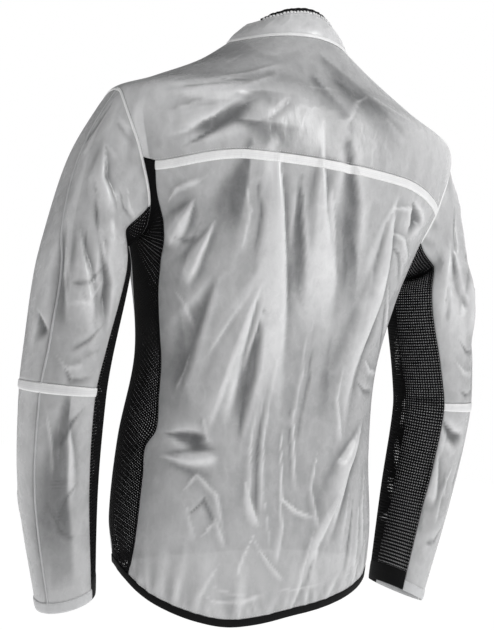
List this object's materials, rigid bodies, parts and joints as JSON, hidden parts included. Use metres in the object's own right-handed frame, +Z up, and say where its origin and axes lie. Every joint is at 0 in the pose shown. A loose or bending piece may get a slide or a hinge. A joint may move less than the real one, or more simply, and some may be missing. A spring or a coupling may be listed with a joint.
{
  "type": "rain jacket",
  "caption": "Light zip-front rain jacket with a short collar, back yoke, long sleeves, net panels under the arms and elastic at hem and cuffs, shaped as worn and left hollow.",
  "frame": {"origin": "the middle of the neckline, where the wearer's neck holds the jacket", "axes": "+Z is up along the body, -Y is the way the wearer faces, +X is the wearer's left"},
  "size_m": [0.6432, 0.2501, 0.7471],
  "materials": {
    "cloth": "thin translucent pale grey raincoat cloth, soft satin",
    "tape": "folded pale binding and tape, matt",
    "net": "black knitted net, matt",
    "elastic": "black binding elastic, matt",
    "zip_tape": "black woven zip tape with moulded teeth",
    "zip_metal": "dark lacquered zip slider"
  },
  "bodies": {
    "root": {"back_panel": "cloth", "back_yoke": "cloth", "collar": "cloth", "collar_elastic": "elastic", "front_left": "cloth", "front_right": "cloth", "hem_elastic": "elastic", "side_net_left": "net", "side_net_right": "net", "sleeve_left_cuff_elastic": "elastic", "sleeve_left_cuff_hem": "tape", "sleeve_left_elbow_tape": "tape", "sleeve_left_lower_back": "cloth", "sleeve_left_lower_front": "cloth", "sleeve_left_net": "net", "sleeve_left_upper_back": "cloth", "sleeve_left_upper_front": "cloth", "sleeve_right_cuff_elastic": "elastic", "sleeve_right_cuff_hem": "tape", "sleeve_right_elbow_tape": "tape", "sleeve_right_lower_back": "cloth", "sleeve_right_lower_front": "cloth", "sleeve_right_net": "net", "sleeve_right_upper_back": "cloth", "sleeve_right_upper_front": "cloth", "yoke_tape": "tape", "zip_pull": "zip_metal", "zip_slider": "zip_metal", "zip_tape_left": "zip_tape", "zip_tape_right": "zip_tape"}
  },
  "joints": []
}
